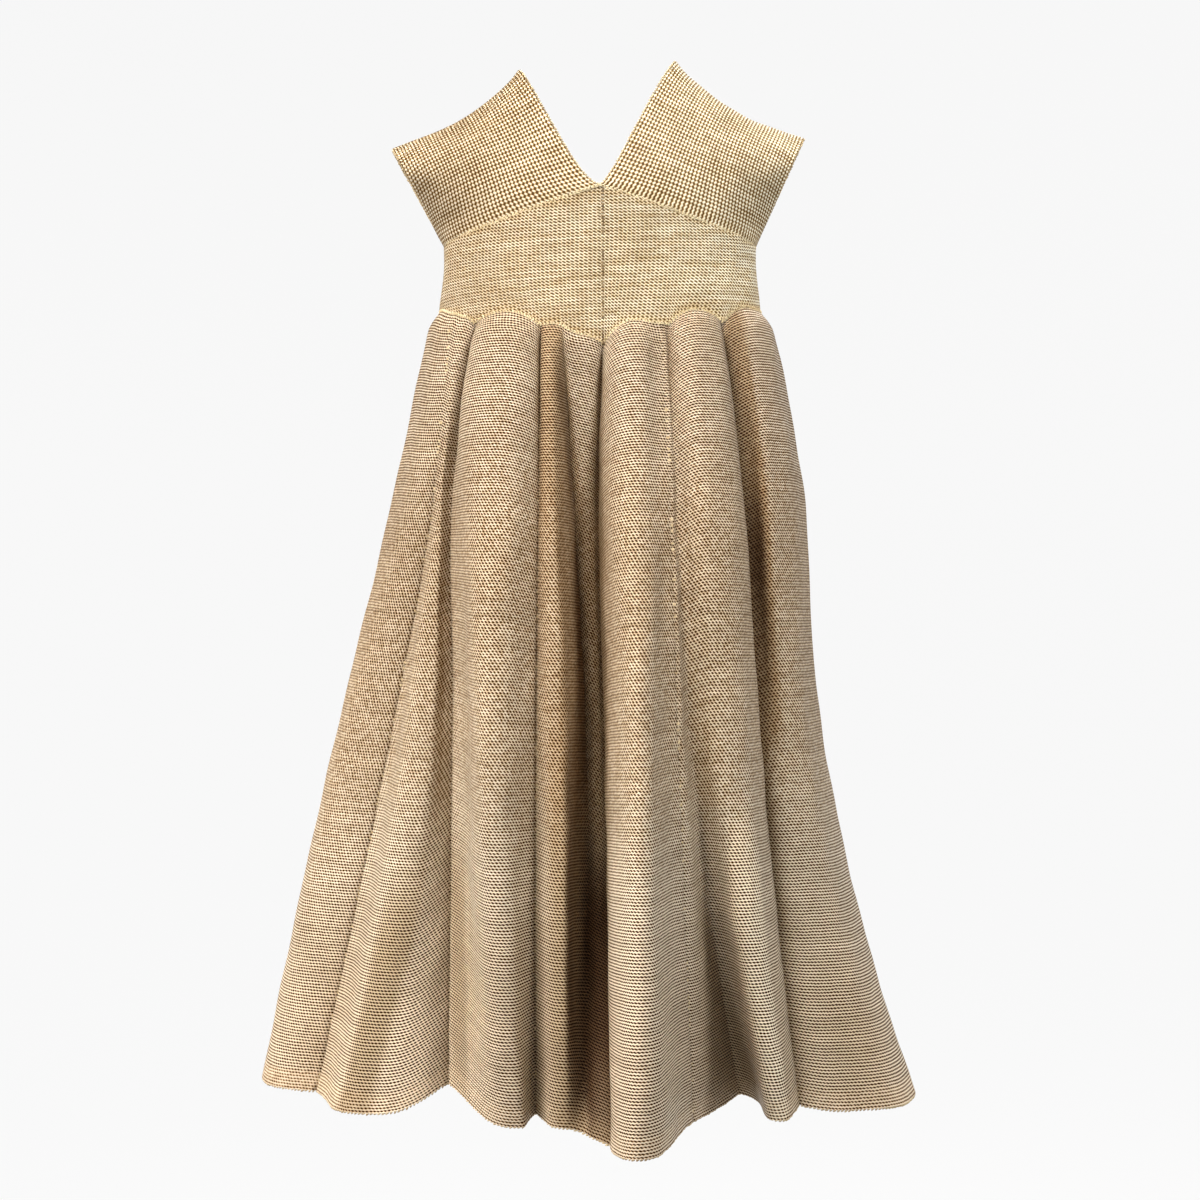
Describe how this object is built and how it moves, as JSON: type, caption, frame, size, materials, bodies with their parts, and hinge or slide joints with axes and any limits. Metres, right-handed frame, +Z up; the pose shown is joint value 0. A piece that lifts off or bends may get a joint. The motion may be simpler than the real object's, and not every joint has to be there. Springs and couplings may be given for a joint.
{
  "type": "christening gown",
  "caption": "Knitted baby christening gown, worn with no wearer: V neck, wide shoulder bands, short plain bodice and a long skirt of flared panels falling in rounded folds.",
  "frame": {"origin": "between the shoulders, at the height of the shoulder line, where the wearer holds the gown up", "axes": "+Z up the body, +X towards the wearer's left, the front faces -Y"},
  "size_m": [0.414, 0.3109, 0.6469],
  "materials": {
    "bodice_knit": "silky knitted cotton, pale champagne",
    "skirt_knit": "silky garter-stitch knit, champagne"
  },
  "bodies": {
    "root": {"gore_front_1": "skirt_knit", "gore_front_2": "skirt_knit", "gore_front_3": "skirt_knit", "gore_front_4": "skirt_knit", "gore_front_5": "skirt_knit", "gore_front_6": "skirt_knit", "gore_front_7": "skirt_knit", "gore_back_1": "skirt_knit", "gore_back_2": "skirt_knit", "gore_back_3": "skirt_knit", "gore_back_4": "skirt_knit", "gore_back_5": "skirt_knit", "gore_back_6": "skirt_knit", "gore_back_7": "skirt_knit", "bodice_front_right": "bodice_knit", "bodice_front_left": "bodice_knit", "bodice_back_left": "bodice_knit", "bodice_back_right": "bodice_knit", "strap_front_right": "bodice_knit", "strap_back_right": "bodice_knit", "strap_front_left": "bodice_knit", "strap_back_left": "bodice_knit"}
  },
  "joints": []
}
